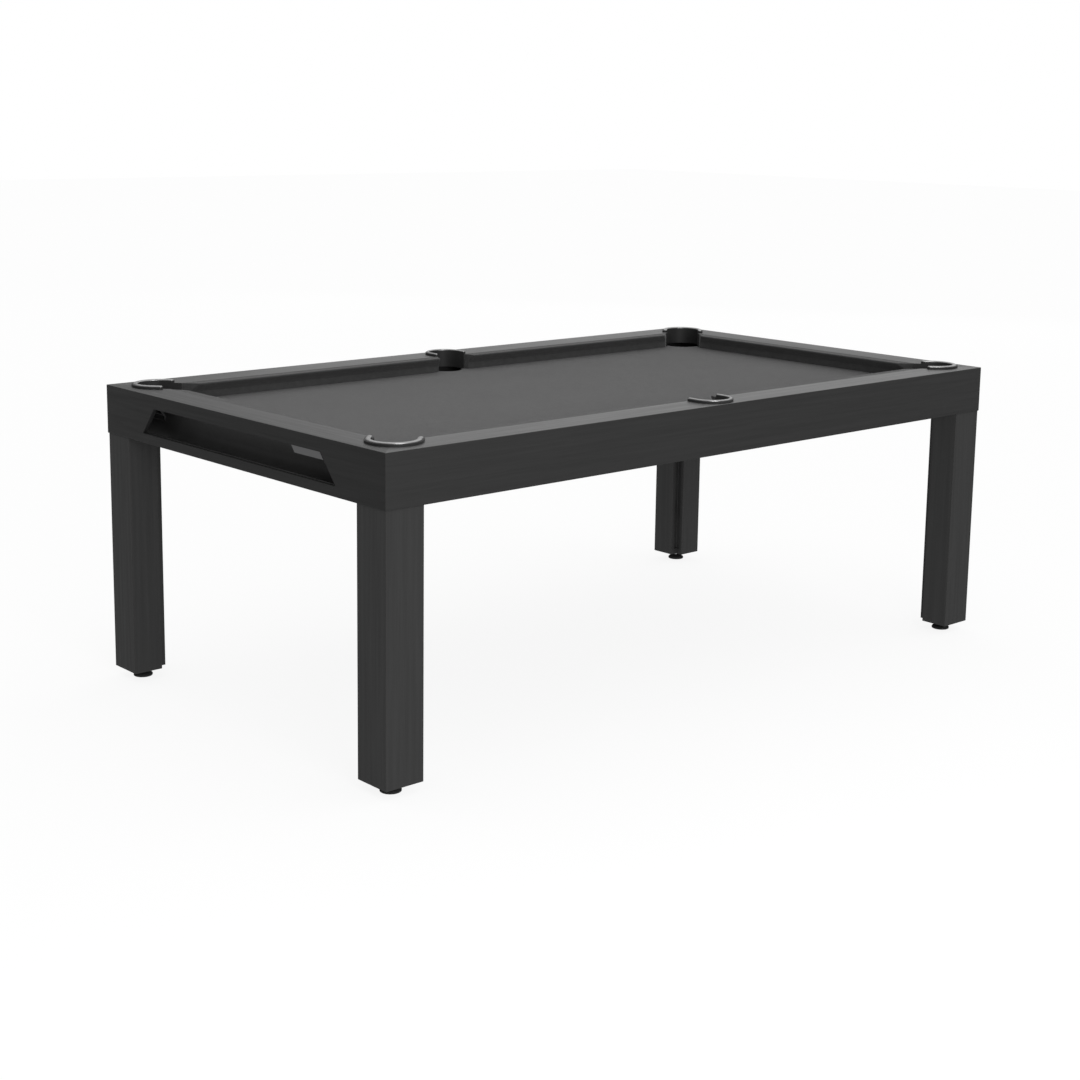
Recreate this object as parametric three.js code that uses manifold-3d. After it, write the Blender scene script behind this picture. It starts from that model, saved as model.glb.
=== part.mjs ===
// Seven-foot pool table with square legs, drop pockets, an open ball tray at one end and levelling feet.
// Units are millimetres, +Z is up, and the origin is on the floor under the middle of the table.
// +X runs along the table. The ball tray opens in the end at -X.
import * as THREE from 'three';
import { mergeVertices } from 'three/addons/utils/BufferGeometryUtils.js';
import Module from 'manifold-3d';

// Driving dimensions
const PLAY_LENGTH = 1981;
const PLAY_WIDTH = 991;
const RAIL_WIDTH = 127;
const RAIL_TOP = 812;
const BED_TOP = 766.5;
const GAP = 0.3;
const OVERRUN = 1;

const HALF_LENGTH = PLAY_LENGTH / 2 + RAIL_WIDTH;
const HALF_WIDTH = PLAY_WIDTH / 2 + RAIL_WIDTH;

const APRON_HEIGHT = 132;
const APRON_THICKNESS = 12;
const APRON_BOTTOM = RAIL_TOP - APRON_HEIGHT;

const CAP_WIDTH = 96.7;
const CAP_THICKNESS = 30;
const CAP_FOOT_START = 80;
const CUSHION_BACK = CAP_WIDTH + GAP;
const CUSHION_DROP = 0.4;
const CUSHION_FOOT_WIDTH = 13;
const CUSHION_FOOT_HEIGHT = 19;
const THROAT_WIDTH = 18;
const THROAT_HEIGHT = 28;
const NOSE_HEIGHT = 41;
const NOSE_RADIUS = 3;
const NOSE_STEPS = 4;

const CLOTH_THICKNESS = 1.2;
const SLATE_THICKNESS = 25;
const SLATE_INSET = 85;
const SLATE_TOP = BED_TOP - CLOTH_THICKNESS - GAP;
const SLATE_BOTTOM = SLATE_TOP - SLATE_THICKNESS;

const LINER_THICKNESS = 3.2;
const COLLAR_HEIGHT = 5.4;
const COLLAR_REACH = 23;
const RIM_HEIGHT = 3.1;
const RIM_BEVEL = 0.9;
const RIM_STEP = 0.6;

const CORNER_POCKET_INSET = 99;
const CORNER_POCKET_RADIUS = 52.5;
const CORNER_RIM_RADIUS = 64.5;
const CORNER_COLLAR_RADIUS = 68.4;
const CORNER_LINER_ARM = 191.6;
const CORNER_JAW_BACK = 56;
const CORNER_JAW_FRONT = 61;

const SIDE_POCKET_INSET = 68;
const SIDE_POCKET_RADIUS = 49;
const SIDE_RIM_RADIUS = 57.5;
const SIDE_COLLAR_RADIUS = 60.5;
const SIDE_LINER_ARM = CAP_WIDTH - GAP;
const SIDE_JAW_BACK = 53.5;
const SIDE_JAW_FRONT = 66;

const WINDOW_BOTTOM = 705.5;
const WINDOW_TOP = 777;
const WINDOW_HALF_BOTTOM = 433;
const WINDOW_HALF_TOP = 374;

const NAME_PLATE_LENGTH = 116;
const NAME_PLATE_HEIGHT = 17;
const NAME_PLATE_THICKNESS = 1.5;
const NAME_PLATE_RECESS = 1;
const NAME_PLATE_MARGIN = 3;

const LEG_SIZE = 108;
const LEG_INSET = 3;
const LEG_WALL = 12;
const LEG_NOTCH = 25;
const LEG_BOTTOM = 25;
const LEG_FLOOR = 20;
const LEG_TOP = APRON_BOTTOM - GAP;
const POST_SIZE = 32.7;
const POST_RECESS = 1.5;

const MOUNT_INSET = APRON_THICKNESS + 0.5;
const MOUNT_SIZE = 212.5;
const MOUNT_THICKNESS = 8;
const MOUNT_BOTTOM = APRON_BOTTOM + GAP;

const BEAM_INSET = 180;
const BEAM_WIDTH = 40;
const BEAM_BOTTOM = MOUNT_BOTTOM + MOUNT_THICKNESS + GAP;
const BEAM_TOP = SLATE_BOTTOM - GAP;
const CROSS_MEMBER_X = 340;

const PIPE_CENTRE = 48;
const PIPE_INNER = 31;
const PIPE_WALL = 3;
const PIPE_LIP = 4;
const TRAY_FLOOR = 692;
const TRAY_FRONT_TOP = 703;
const TRAY_FRONT_MARGIN = 10;
const GUTTER_LOW = 700;
const GUTTER_HIGH = 708;
const GUTTER_START = 84.5;
const BASIN_TOP = SLATE_BOTTOM - 1;
const BASIN_EDGE_RISE = 9;
const BASIN_SEAT = 22;
const BASIN_BACK_FLOOR = 730;
const CORNER_BASIN_DEPTH = BEAM_INSET - 2;
const SIDE_BASIN_HALF = 64;
const HOOD_MOUTH = 172;
const HOOD_LENGTH = 8;
const HOOD_WALL = 5;

const STUD_RADIUS = 5;
const STUD_TOP = 70;
const COLLAR_RADIUS = 9.8;
const COLLAR_BOTTOM = 16;
const COLLAR_TOP = LEG_BOTTOM - GAP;
const HEAD_TOP = 11.5;
const HEAD_TAPER = 2;
const PAD_RADIUS = 26;
const PAD_SKIRT = 5.5;
const PAD_SHOULDER_IN = 4;
const PAD_SHOULDER_RISE = 3.5;
const PAD_TOP = 13.5;
const CHAMFER = 1;
const SOCKET_RADIUS = 7.6;
const SOCKET_WALL = 2;
const SOCKET_FLOOR = 6.5;

const ARC_STEPS = 20;
const ROUND_STEPS = 28;
const TIP_STEPS = 6;
const FAR = 400;

const wasm = await Module();
wasm.setup();

// Materials
function finish(color, roughness, metalness = 0) {
  return new THREE.MeshStandardMaterial({ color, roughness, metalness });
}

const BLACK_BOARD = finish(0x3a3a3b, 0.45);
const CAP_BOARD = finish(0x454546, 0.4);
const GREY_CLOTH = finish(0x6e6e70, 0.95);
const SLATE = finish(0x4b4f52, 0.8);
const POLISHED_RIM = finish(0xc4c4c6, 0.25, 1);
const BLACK_LINER = finish(0x19191a, 0.5);
const FRAME_WOOD = finish(0x242322, 0.7);
const BLACK_STEEL = finish(0x2a2a2c, 0.5, 0.6);
const ZINC_STEEL = finish(0x8d8f92, 0.35, 1);
const GLOSS_PLASTIC = finish(0x1b1b1c, 0.2);
const BLACK_RUBBER = finish(0x161616, 0.8);
const BRUSHED_PLATE = finish(0xb6b7b9, 0.35, 1);

// Geometry helpers

// A closed outline in the XY plane, pushed up from z = bottom to z = top.
function prism(points, bottom, top) {
  const shape = new THREE.Shape(points.map(([x, y]) => new THREE.Vector2(x, y)));
  const geometry = new THREE.ExtrudeGeometry(shape, { depth: top - bottom, bevelEnabled: false });
  return geometry.translate(0, 0, bottom);
}

// A cross-section given as (distance in from the table's edge, height), run along X from start to end.
function bar(section, start, end) {
  const alongX = new THREE.Matrix4().set(0, 0, 1, 0, 1, 0, 0, 0, 0, 1, 0, 0, 0, 0, 0, 1);
  return prism(section, start, end).applyMatrix4(alongX);
}

function box(low, high) {
  const size = high.map((value, axis) => value - low[axis]);
  const middle = high.map((value, axis) => (value + low[axis]) / 2);
  return new THREE.BoxGeometry(...size).translate(...middle);
}

function cylinder(x, y, radius, bottom, top) {
  const geometry = new THREE.CylinderGeometry(radius, radius, top - bottom, 2 * ARC_STEPS);
  return geometry.rotateX(Math.PI / 2).translate(x, y, (bottom + top) / 2);
}

function arc(x, y, radius, from, to, steps) {
  return Array.from({ length: steps + 1 }, (_, step) => {
    const angle = from + ((to - from) * step) / steps;
    return [x + radius * Math.cos(angle), y + radius * Math.sin(angle)];
  });
}

function solid(geometry) {
  const bare = geometry.clone();
  bare.deleteAttribute('normal');
  bare.deleteAttribute('uv');
  const merged = mergeVertices(bare, 1e-4);
  const vertProperties = new Float32Array(merged.attributes.position.array);
  const triVerts = new Uint32Array(merged.index.array);
  return new wasm.Manifold(new wasm.Mesh({ numProp: 3, vertProperties, triVerts }));
}

function geometryOf(body) {
  const mesh = body.getMesh();
  const geometry = new THREE.BufferGeometry();
  geometry.setAttribute('position', new THREE.BufferAttribute(mesh.vertProperties, 3));
  geometry.setIndex(new THREE.BufferAttribute(mesh.triVerts, 1));
  geometry.computeVertexNormals();
  return geometry;
}

function cut(geometry, ...tools) {
  return geometryOf(tools.reduce((body, tool) => body.subtract(solid(tool)), solid(geometry)));
}

function join(geometry, ...others) {
  return geometryOf(others.reduce((body, other) => body.add(solid(other)), solid(geometry)));
}

function common(geometry, other) {
  return geometryOf(solid(geometry).intersect(solid(other)));
}

// The same shape mirrored in X, with its faces turned back outwards.
function mirrorX(geometry) {
  const mirrored = geometry.clone().scale(-1, 1, 1);
  mirrored.setIndex([...mirrored.index.array].reverse());
  mirrored.computeVertexNormals();
  return mirrored;
}

function piece(parent, name, geometry, material) {
  const mesh = new THREE.Mesh(geometry, material.clone());
  mesh.name = name;
  parent.add(mesh);
  return mesh;
}

// A pocket's outline: a half circle at the back, and straight arms that open along +X.
function pocketOutline(centre, radius, armEnd) {
  const back = arc(centre, 0, radius, Math.PI / 2, (3 * Math.PI) / 2, ARC_STEPS);
  return [...back, [armEnd, -radius], [armEnd, radius]];
}

// The band between two pocket outlines, with its arm ends rounded.
function pocketBand(centre, innerRadius, outerRadius, armEnd) {
  const middle = (innerRadius + outerRadius) / 2;
  const tip = (outerRadius - innerRadius) / 2;
  const outer = arc(centre, 0, outerRadius, Math.PI / 2, (3 * Math.PI) / 2, ARC_STEPS);
  const inner = arc(centre, 0, innerRadius, (3 * Math.PI) / 2, Math.PI / 2, ARC_STEPS);
  const lowerTip = arc(armEnd, -middle, tip, -Math.PI / 2, Math.PI / 2, TIP_STEPS);
  const upperTip = arc(armEnd, middle, tip, -Math.PI / 2, Math.PI / 2, TIP_STEPS);
  return [...outer, ...lowerTip, ...inner, ...upperTip];
}

// Pocket measures along its own line of symmetry, from the corner's point or the side's edge.
const CORNER = {
  centre: CORNER_POCKET_INSET * Math.SQRT2,
  radius: CORNER_POCKET_RADIUS,
  rimRadius: CORNER_RIM_RADIUS,
  collarRadius: CORNER_COLLAR_RADIUS,
  linerArm: CORNER_LINER_ARM,
};
const SIDE = {
  centre: SIDE_POCKET_INSET,
  radius: SIDE_POCKET_RADIUS,
  rimRadius: SIDE_RIM_RADIUS,
  collarRadius: SIDE_COLLAR_RADIUS,
  linerArm: SIDE_LINER_ARM,
};

// The radius of a pocket's cut in the caps, the slate and the cloth.
function cutRadius(pocket) {
  return pocket.radius + LINER_THICKNESS + GAP;
}

// Places in the table. A side's own frame has X along the side and Y inwards from the outer face,
// and a corner's own frame has X and Y inwards from the two outer faces.
const table = new THREE.Group();

function frameAt(x, y, quarterTurns) {
  const group = new THREE.Group();
  group.position.set(x, y, 0);
  group.rotation.z = (quarterTurns * Math.PI) / 2;
  table.add(group);
  return group;
}

const SIDES = {
  front: { frame: frameAt(0, -HALF_WIDTH, 0), half: HALF_LENGTH, long: true },
  rear: { frame: frameAt(0, HALF_WIDTH, 2), half: HALF_LENGTH, long: true },
  tray_end: { frame: frameAt(-HALF_LENGTH, 0, -1), half: HALF_WIDTH, long: false },
  plain_end: { frame: frameAt(HALF_LENGTH, 0, 1), half: HALF_WIDTH, long: false },
};

const CORNERS = {
  front_tray: frameAt(-HALF_LENGTH, -HALF_WIDTH, 0),
  front_plain: frameAt(HALF_LENGTH, -HALF_WIDTH, 1),
  rear_plain: frameAt(HALF_LENGTH, HALF_WIDTH, 2),
  rear_tray: frameAt(-HALF_LENGTH, HALF_WIDTH, -1),
};

// Cutters for a side's pieces, in the side's own frame.
function cornerCutter(half, sign, bottom, top) {
  const outline = pocketOutline(CORNER.centre, cutRadius(CORNER), FAR);
  const angle = sign < 0 ? Math.PI / 4 : (3 * Math.PI) / 4;
  return prism(outline, bottom, top).rotateZ(angle).translate(sign * half, 0, 0);
}

function sideCutter(bottom, top) {
  return prism(pocketOutline(SIDE.centre, cutRadius(SIDE), FAR), bottom, top).rotateZ(Math.PI / 2);
}

function mitredPlan(half, depth) {
  const shift = GAP / Math.SQRT2;
  return [
    [-half + shift, 0],
    [half - shift, 0],
    [half - depth - shift, depth],
    [-half + depth + shift, depth],
  ];
}

// Aprons: boards on edge, mitred to each other and to the rail caps above them.
function apron(half) {
  const section = [
    [0, APRON_BOTTOM],
    [APRON_THICKNESS, APRON_BOTTOM],
    [APRON_THICKNESS, RAIL_TOP - APRON_THICKNESS],
    [0, RAIL_TOP],
  ];
  const plan = prism(mitredPlan(half, APRON_THICKNESS), APRON_BOTTOM - OVERRUN, RAIL_TOP + OVERRUN);
  return common(bar(section, -half, half), plan);
}

function trayWindow() {
  const outline = [
    [-WINDOW_HALF_BOTTOM, WINDOW_BOTTOM],
    [WINDOW_HALF_BOTTOM, WINDOW_BOTTOM],
    [WINDOW_HALF_TOP, WINDOW_TOP],
    [-WINDOW_HALF_TOP, WINDOW_TOP],
  ];
  return prism(outline, -APRON_THICKNESS - OVERRUN, OVERRUN).rotateX(Math.PI / 2);
}

// Rail caps: flat boards whose inner foot stands on the slate's margin.
function railCap(half, long) {
  const mitre = GAP * Math.SQRT2;
  const section = [
    [mitre, RAIL_TOP],
    [APRON_THICKNESS + GAP, RAIL_TOP - APRON_THICKNESS + mitre - GAP],
    [APRON_THICKNESS + GAP, RAIL_TOP - CAP_THICKNESS],
    [CAP_FOOT_START, RAIL_TOP - CAP_THICKNESS],
    [CAP_FOOT_START, BED_TOP + GAP],
    [CAP_WIDTH, BED_TOP + GAP],
    [CAP_WIDTH, RAIL_TOP],
  ];
  const plan = prism(mitredPlan(half, RAIL_WIDTH), BED_TOP, RAIL_TOP + OVERRUN);
  const ends = [BED_TOP - OVERRUN, RAIL_TOP + OVERRUN];
  const cutters = [-1, 1].map((sign) => cornerCutter(half, sign, ...ends));
  if (long) cutters.push(sideCutter(...ends));
  return cut(common(bar(section, -half, half), plan), ...cutters);
}

// Cushions: flat on top, level with the caps, with a rounded nose that overhangs the bed.
function cushionSection() {
  const bottom = BED_TOP + 2 * GAP;
  const top = RAIL_TOP - CUSHION_DROP;
  const nose = arc(
    RAIL_WIDTH - NOSE_RADIUS,
    BED_TOP + NOSE_HEIGHT,
    NOSE_RADIUS,
    -Math.PI / 3,
    Math.PI * 0.45,
    NOSE_STEPS,
  );
  return [
    [CUSHION_BACK, bottom],
    [CUSHION_BACK + CUSHION_FOOT_WIDTH, bottom],
    [CUSHION_BACK + CUSHION_FOOT_WIDTH, BED_TOP + CUSHION_FOOT_HEIGHT],
    [CUSHION_BACK + THROAT_WIDTH, BED_TOP + THROAT_HEIGHT],
    ...nose,
    [CUSHION_BACK + CUSHION_FOOT_WIDTH, top - CUSHION_DROP],
    [CUSHION_BACK, top],
  ];
}

// A cushion's two ends are cut at an angle where they meet the pockets.
function cushion(half, innerEnd) {
  const share = (inset) => (inset - CUSHION_BACK) / (RAIL_WIDTH - CUSHION_BACK);
  const sideJaw = (inset) => THREE.MathUtils.lerp(SIDE_JAW_BACK, SIDE_JAW_FRONT, share(inset));
  const jaw = (inset) => {
    const offset = THREE.MathUtils.lerp(CORNER_JAW_BACK, CORNER_JAW_FRONT, share(inset));
    return half - offset * Math.SQRT2 - inset;
  };
  const back = CUSHION_BACK - OVERRUN;
  const front = RAIL_WIDTH + OVERRUN;
  const near = innerEnd === 'side' ? [sideJaw(back), sideJaw(front)] : [-jaw(back), -jaw(front)];
  const plan = [
    [near[0], back],
    [jaw(back), back],
    [jaw(front), front],
    [near[1], front],
  ];
  return common(bar(cushionSection(), -half, half), prism(plan, BED_TOP, RAIL_TOP));
}

for (const [name, side] of Object.entries(SIDES)) {
  const board = apron(side.half);
  const pierced = name === 'tray_end' ? cut(board, trayWindow()) : board;
  piece(side.frame, `apron_${name}`, pierced, BLACK_BOARD);
  piece(side.frame, `rail_cap_${name}`, railCap(side.half, side.long), CAP_BOARD);
}

for (const name of ['tray_end', 'plain_end']) {
  const side = SIDES[name];
  piece(side.frame, `cushion_${name}`, cushion(side.half, 'corner'), GREY_CLOTH);
}

// On the front side the half at +X is the plain end's, and on the rear side it is the tray end's.
for (const [name, ends] of [['front', ['plain', 'tray']], ['rear', ['tray', 'plain']]]) {
  const side = SIDES[name];
  const positive = cushion(side.half, 'side');
  piece(side.frame, `cushion_${name}_${ends[0]}`, positive, GREY_CLOTH);
  piece(side.frame, `cushion_${name}_${ends[1]}`, mirrorX(positive), GREY_CLOTH);
}

// A pocket liner: a wall between the caps, and a collar that stands on them.
function liner(pocket) {
  const outerRadius = pocket.radius + LINER_THICKNESS;
  const collarArm = pocket.centre + COLLAR_REACH;
  const collarBottom = RAIL_TOP + GAP;
  const collarTop = collarBottom + COLLAR_HEIGHT;
  const wall = prism(pocketOutline(pocket.centre, outerRadius, pocket.linerArm), BED_TOP + GAP, RAIL_TOP);
  const neck = prism(pocketOutline(pocket.centre, outerRadius, collarArm), BED_TOP + GAP, collarTop);
  const collarOutline = pocketBand(pocket.centre, pocket.radius, pocket.collarRadius, collarArm);
  const collar = prism(collarOutline, collarBottom, collarTop);
  const inner = pocketOutline(pocket.centre, pocket.radius, FAR);
  return cut(join(wall, neck, collar), prism(inner, BED_TOP, collarTop + OVERRUN));
}

// A bright band on the collar.
function rim(pocket) {
  const inner = pocket.radius + RIM_STEP + RIM_BEVEL;
  const outer = pocket.rimRadius - RIM_BEVEL;
  const outline = pocketBand(pocket.centre, inner, outer, pocket.centre + COLLAR_REACH);
  const shape = new THREE.Shape(outline.map(([x, y]) => new THREE.Vector2(x, y)));
  const geometry = new THREE.ExtrudeGeometry(shape, {
    depth: RIM_HEIGHT - 2 * RIM_BEVEL,
    bevelThickness: RIM_BEVEL,
    bevelSize: RIM_BEVEL,
    bevelSegments: 1,
  });
  return geometry.translate(0, 0, RAIL_TOP + COLLAR_HEIGHT + 2 * GAP + RIM_BEVEL);
}

function pocketPieces(frame, name, pocket, angle) {
  piece(frame, `pocket_liner_${name}`, liner(pocket), BLACK_LINER).rotation.z = angle;
  piece(frame, `pocket_rim_${name}`, rim(pocket), POLISHED_RIM).rotation.z = angle;
}

for (const [name, frame] of Object.entries(CORNERS)) {
  pocketPieces(frame, name, CORNER, Math.PI / 4);
}
for (const name of ['front', 'rear']) {
  pocketPieces(SIDES[name].frame, `${name}_middle`, SIDE, Math.PI / 2);
}

// Slate and its cloth, both notched round the six pockets
function bedSheet(bottom, top) {
  const x = HALF_LENGTH - SLATE_INSET;
  const y = HALF_WIDTH - SLATE_INSET;
  const hole = (hx, hy, pocket) => cylinder(hx, hy, cutRadius(pocket), bottom - OVERRUN, top + OVERRUN);
  const tools = [-1, 1].flatMap((row) => {
    const cornerY = row * (HALF_WIDTH - CORNER_POCKET_INSET);
    const middleY = row * (HALF_WIDTH - SIDE_POCKET_INSET);
    const corners = [-1, 1].map((column) => {
      return hole(column * (HALF_LENGTH - CORNER_POCKET_INSET), cornerY, CORNER);
    });
    return [...corners, hole(0, middleY, SIDE)];
  });
  return cut(box([-x, -y, bottom], [x, y, top]), ...tools);
}

piece(table, 'slate_bed', bedSheet(SLATE_BOTTOM, SLATE_TOP), SLATE);
piece(table, 'bed_cloth', bedSheet(BED_TOP - CLOTH_THICKNESS, BED_TOP), GREY_CLOTH);

// Frame under the slate
const beamX = HALF_LENGTH - BEAM_INSET;
const beamY = HALF_WIDTH - BEAM_INSET;
const innerY = beamY - BEAM_WIDTH - GAP;

for (const [name, row] of [['front', -1], ['rear', 1]]) {
  const edges = [row * beamY, row * (beamY - BEAM_WIDTH)].sort((a, b) => a - b);
  const beam = box([-beamX, edges[0], BEAM_BOTTOM], [beamX, edges[1], BEAM_TOP]);
  piece(table, `frame_beam_${name}`, beam, FRAME_WOOD);
}
for (const [name, centre] of [
  ['frame_beam_tray_end', -beamX + BEAM_WIDTH / 2],
  ['frame_beam_plain_end', beamX - BEAM_WIDTH / 2],
  ['cross_member_tray', -CROSS_MEMBER_X],
  ['cross_member_plain', CROSS_MEMBER_X],
]) {
  const beam = box([-BEAM_WIDTH / 2, -innerY, BEAM_BOTTOM], [BEAM_WIDTH / 2, innerY, BEAM_TOP]);
  piece(table, name, beam, FRAME_WOOD).position.x = centre;
}

// Ball return: half-round gutters under the long rails fall towards the tray across the end.
function halfPipe(floor) {
  const centre = floor + PIPE_INNER;
  const outerRadius = PIPE_INNER + PIPE_WALL;
  const outer = arc(PIPE_CENTRE, centre, outerRadius, Math.PI, 2 * Math.PI, ARC_STEPS);
  const inner = arc(PIPE_CENTRE, centre, PIPE_INNER, 2 * Math.PI, Math.PI, ARC_STEPS);
  const lip = centre + PIPE_LIP;
  return [
    [PIPE_CENTRE - outerRadius, lip],
    ...outer,
    [PIPE_CENTRE + outerRadius, lip],
    [PIPE_CENTRE + PIPE_INNER, lip],
    ...inner,
    [PIPE_CENTRE - PIPE_INNER, lip],
  ];
}

// A basin catches balls under a pocket and tips them into the gutter: an outer block and its hollow.
// The block's floor runs on into the pipe's wall, so that no slit is left between them.
function basin(floor, from, to, depth) {
  const wall = PIPE_WALL;
  const mouth = PIPE_CENTRE + PIPE_INNER;
  const lowEdge = floor + BASIN_EDGE_RISE;
  const seat = PIPE_CENTRE + BASIN_SEAT;
  const block = [
    [seat, lowEdge - wall],
    [mouth, lowEdge - wall],
    [depth, BASIN_BACK_FLOOR - wall],
    [depth, BASIN_TOP],
    [mouth, BASIN_TOP],
    [mouth, lowEdge],
    [seat, lowEdge],
  ];
  const hollow = [
    [PIPE_CENTRE + wall, lowEdge],
    [mouth, lowEdge],
    [depth - wall, BASIN_BACK_FLOOR],
    [depth - wall, RAIL_TOP],
    [PIPE_CENTRE + wall, RAIL_TOP],
  ];
  return { block: bar(block, from, to), hollow: bar(hollow, from + wall, to - wall) };
}

// towardsTray is the direction of the tray end along the side's own X axis.
function gutter(towardsTray) {
  const low = HALF_LENGTH - GUTTER_START;
  const high = HALF_LENGTH - PIPE_CENTRE + PIPE_INNER;
  const slope = (GUTTER_HIGH - GUTTER_LOW) / (low + high);
  const fall = new THREE.Matrix4().set(1, 0, 0, 0, 0, 1, 0, 0, slope, 0, 1, 0, 0, 0, 0, 1);
  const level = GUTTER_LOW + slope * low;
  const floorAt = (x) => level + slope * x;
  const pipe = bar(halfPipe(level), -low, high).applyMatrix4(fall);
  const sideDepth = SIDE_POCKET_INSET + cutRadius(SIDE) + PIPE_WALL;
  const basins = [
    basin(floorAt(-low), -low + OVERRUN, -HALF_LENGTH + CORNER_BASIN_DEPTH, CORNER_BASIN_DEPTH),
    basin(floorAt(0), -SIDE_BASIN_HALF, SIDE_BASIN_HALF, sideDepth),
    basin(floorAt(high), HALF_LENGTH - CORNER_BASIN_DEPTH, high, CORNER_BASIN_DEPTH),
  ];
  const whole = join(pipe, ...basins.map((part) => part.block));
  const hollowed = cut(whole, ...basins.map((part) => part.hollow));
  return towardsTray < 0 ? hollowed : mirrorX(hollowed);
}

piece(SIDES.front.frame, 'gutter_front', gutter(-1), GLOSS_PLASTIC);
piece(SIDES.rear.frame, 'gutter_rear', gutter(1), GLOSS_PLASTIC);

// The tray lies across the end. Its front lip is low behind the window, and between the hoods its back
// rises to the caps, so that nothing of the frame shows behind the balls.
function ballTray() {
  const half = HALF_WIDTH - PIPE_CENTRE + PIPE_INNER + PIPE_WALL;
  const outerRadius = PIPE_INNER + PIPE_WALL;
  const high = TRAY_FLOOR + PIPE_INNER + PIPE_LIP;
  const near = PIPE_CENTRE - outerRadius;
  const away = PIPE_CENTRE + outerRadius;
  const ends = [-1, 1].map((sign) => {
    const edges = [sign * half, sign * (half - PIPE_WALL)].sort((a, b) => a - b);
    return box([edges[0], near, TRAY_FLOOR], [edges[1], away, high]);
  });
  const backHalf = HALF_WIDTH - HOOD_MOUTH - GAP;
  const back = box([-backHalf, away - PIPE_WALL, high - PIPE_LIP], [backHalf, away, BED_TOP]);
  const frontHalf = WINDOW_HALF_BOTTOM + TRAY_FRONT_MARGIN;
  const frontCut = box(
    [-frontHalf, near - OVERRUN, TRAY_FRONT_TOP],
    [frontHalf, PIPE_CENTRE, high + OVERRUN],
  );
  const gutterMouths = [-1, 1].map((sign) => {
    const middle = sign * (HALF_WIDTH - PIPE_CENTRE);
    const lowCorner = [middle - PIPE_INNER, PIPE_CENTRE, GUTTER_LOW - OVERRUN];
    return box(lowCorner, [middle + PIPE_INNER, away + OVERRUN, high + OVERRUN]);
  });
  const trough = join(bar(halfPipe(TRAY_FLOOR), -half, half), back, ...ends);
  return cut(trough, frontCut, ...gutterMouths);
}

piece(SIDES.tray_end.frame, 'ball_tray', ballTray(), GLOSS_PLASTIC);

// Hoods close the tray's two ends into round mouths.
function hood() {
  const centre = TRAY_FLOOR + PIPE_INNER + PIPE_LIP + GAP;
  const inner = arc(PIPE_CENTRE, centre, PIPE_INNER, Math.PI, 0, ARC_STEPS);
  const outer = arc(PIPE_CENTRE, centre, PIPE_INNER + HOOD_WALL, 0, Math.PI, ARC_STEPS);
  return bar([...outer, ...inner], -HOOD_LENGTH / 2, HOOD_LENGTH / 2);
}

for (const [name, sign] of [['front', 1], ['rear', -1]]) {
  const middle = HALF_WIDTH - HOOD_MOUTH + HOOD_LENGTH / 2;
  piece(SIDES.tray_end.frame, `tray_hood_${name}`, hood(), GLOSS_PLASTIC).position.x = sign * middle;
}

// Blank name plate: a slanted strip folded back along its top edge, under the window's upper edge.
function namePlate() {
  const top = WINDOW_TOP - GAP;
  const bottom = top - NAME_PLATE_HEIGHT;
  const slant = (WINDOW_HALF_BOTTOM - WINDOW_HALF_TOP) / (WINDOW_TOP - WINDOW_BOTTOM);
  const lean = NAME_PLATE_HEIGHT * slant;
  const right = WINDOW_HALF_TOP - NAME_PLATE_MARGIN;
  const left = right - NAME_PLATE_LENGTH;
  const outline = [[left, top], [left + lean, bottom], [right + lean, bottom], [right, top]];
  const back = -NAME_PLATE_RECESS - NAME_PLATE_THICKNESS;
  const face = prism(outline, back, -NAME_PLATE_RECESS).rotateX(Math.PI / 2);
  const foldLow = [left, NAME_PLATE_RECESS, top - NAME_PLATE_THICKNESS];
  return join(face, box(foldLow, [right, APRON_THICKNESS, top]));
}

piece(SIDES.tray_end.frame, 'name_plate', namePlate(), BRUSHED_PLATE);

// Legs: square hollow columns whose inner corner is set back and closed by a post.
function legShell() {
  const low = LEG_INSET;
  const high = LEG_INSET + LEG_SIZE;
  const notch = high - LEG_NOTCH;
  const outline = [[low, low], [high, low], [high, notch], [notch, notch], [notch, high], [low, high]];
  const innerLow = low + LEG_WALL;
  const innerHigh = high - LEG_WALL;
  const hollow = box(
    [innerLow, innerLow, LEG_BOTTOM + LEG_FLOOR],
    [innerHigh, innerHigh, LEG_TOP + OVERRUN],
  );
  const middle = LEG_INSET + LEG_SIZE / 2;
  const studHole = cylinder(middle, middle, STUD_RADIUS + GAP, LEG_BOTTOM - OVERRUN, LEG_TOP);
  return cut(prism(outline, LEG_BOTTOM, LEG_TOP), hollow, studHole);
}

function legPost() {
  const outside = LEG_INSET + LEG_SIZE - LEG_WALL - GAP;
  const inside = outside - POST_SIZE;
  const face = LEG_INSET + LEG_SIZE - LEG_NOTCH - POST_RECESS;
  const outline = [
    [inside, inside],
    [outside, inside],
    [outside, face],
    [face, face],
    [face, outside],
    [inside, outside],
  ];
  return prism(outline, LEG_BOTTOM + LEG_FLOOR + GAP, LEG_TOP);
}

function mountPlate() {
  const high = MOUNT_INSET + MOUNT_SIZE;
  return box([MOUNT_INSET, MOUNT_INSET, MOUNT_BOTTOM], [high, high, MOUNT_BOTTOM + MOUNT_THICKNESS]);
}

function turned(profile) {
  const points = profile.map(([radius, height]) => new THREE.Vector2(radius, height));
  return new THREE.LatheGeometry(points, ROUND_STEPS).rotateX(Math.PI / 2);
}

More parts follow.
